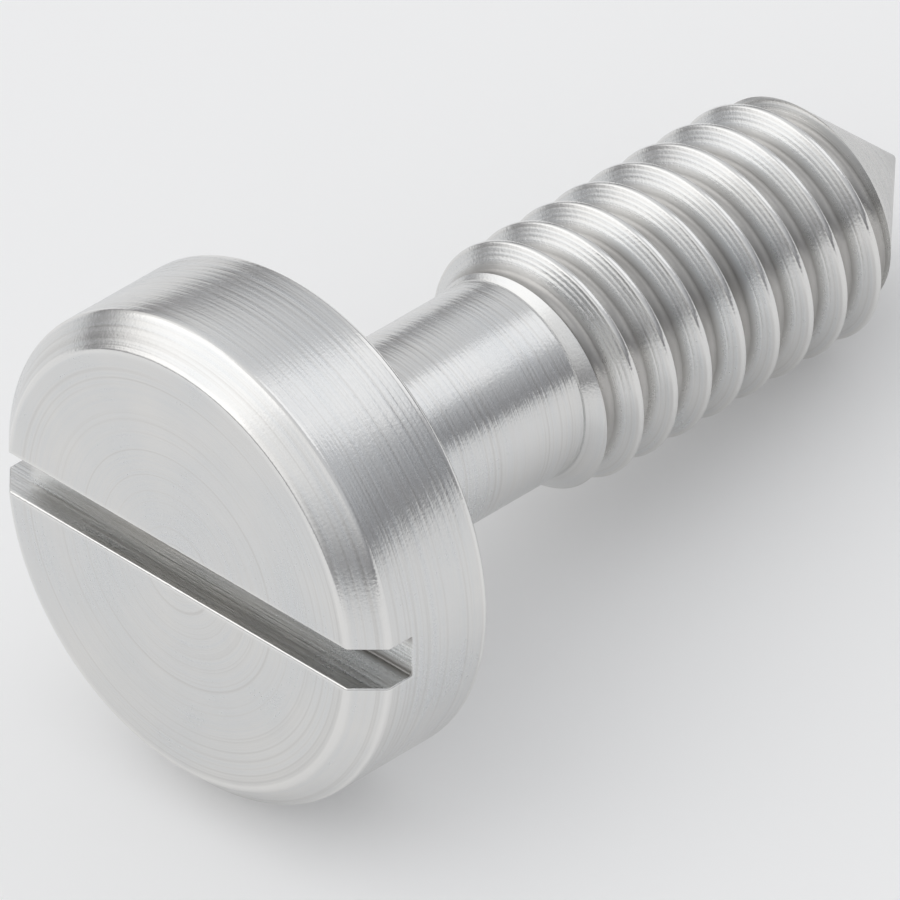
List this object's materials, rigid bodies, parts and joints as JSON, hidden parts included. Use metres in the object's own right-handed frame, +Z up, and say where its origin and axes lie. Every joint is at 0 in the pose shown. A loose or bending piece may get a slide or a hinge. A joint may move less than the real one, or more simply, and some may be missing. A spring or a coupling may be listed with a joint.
{
  "type": "slotted collar screw",
  "caption": "Captive screw for a front panel: low slotted head, slim plain neck, right-hand thread at the end and a cone point. Lies on its side.",
  "frame": {"origin": "on the surface that the screw lies on, below its axis, midway between the foot of the head's face and the tip", "axes": "+Z up; +Y from the head towards the point, with the screw's axis dipping 10.7 degrees below +Y; the slot runs along X"},
  "size_m": [0.005, 0.0096, 0.0051],
  "materials": {
    "plated_steel": "bright nickel plating over fine turning marks"
  },
  "bodies": {
    "root": {"collar_screw": "plated_steel"}
  },
  "joints": []
}
